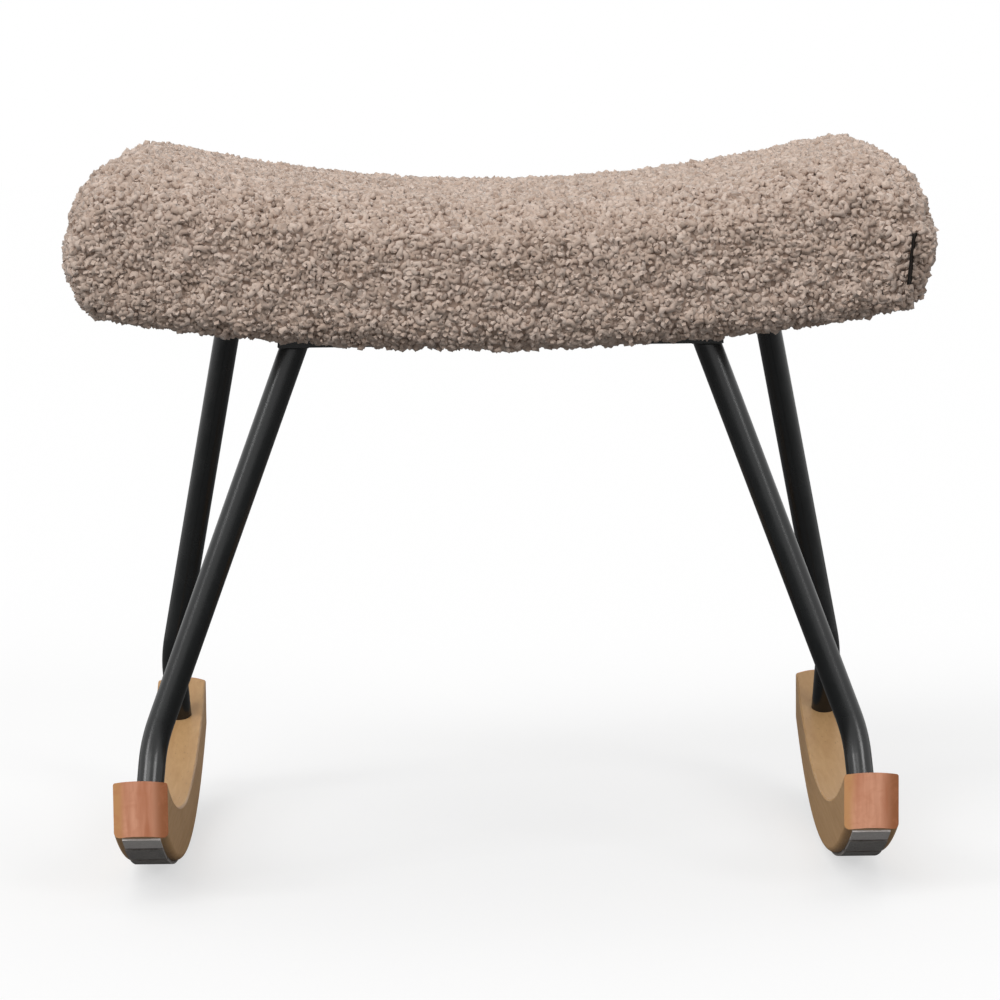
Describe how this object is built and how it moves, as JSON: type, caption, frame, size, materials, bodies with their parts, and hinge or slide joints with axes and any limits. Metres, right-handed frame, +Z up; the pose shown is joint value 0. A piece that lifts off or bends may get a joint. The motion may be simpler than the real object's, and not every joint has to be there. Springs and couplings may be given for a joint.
{
  "type": "rocking footstool",
  "caption": "Saddle-shaped footstool in curly boucle on bent black steel tube legs that stand in curved wooden rockers.",
  "frame": {"origin": "on the floor under the middle of the stool, where the felt strips rest", "axes": "+Z up, +X to the sitter's right along the seat's length, the front of the stool faces -Y"},
  "size_m": [0.5098, 0.37, 0.4355],
  "materials": {
    "boucle": "curly pile, pinkish taupe, brushed paler on top",
    "black_steel": "satin black powder coat",
    "rocker_wood": "clear satin lacquer, end faces lacquered reddish",
    "plywood": "raw bent plywood",
    "felt": "dark grey pressed felt",
    "pale_pad": "pale grey pressed felt",
    "zinc_steel": "zinc plated",
    "black_plastic": "matt",
    "foam": "open-cell foam",
    "black_cloth": "fine non-woven or woven cloth"
  },
  "bodies": {
    "root": {"left_rocker": "rocker_wood", "right_rocker": "rocker_wood", "left_floor_strip": "felt", "right_floor_strip": "felt", "left_end_felts": "felt", "right_end_felts": "felt", "left_tip_pads": "pale_pad", "right_tip_pads": "pale_pad", "front_left_leg": "black_steel", "front_right_leg": "black_steel", "rear_left_leg": "black_steel", "rear_right_leg": "black_steel", "front_cross_rail": "black_steel", "rear_cross_rail": "black_steel", "left_side_rail": "black_steel", "right_side_rail": "black_steel", "leg_plugs": "zinc_steel", "rocker_bolts": "zinc_steel", "rocker_washers": "zinc_steel", "seat_bolts": "zinc_steel", "seat_washers": "zinc_steel", "tee_nuts": "zinc_steel", "cover_staples": "zinc_steel", "seat_spacers": "black_plastic", "seat_board": "plywood", "foam_block": "foam", "cover_wrap": "boucle", "left_cover_end": "boucle", "right_cover_end": "boucle", "dust_cover": "black_cloth", "side_tag": "black_cloth"}
  },
  "joints": []
}
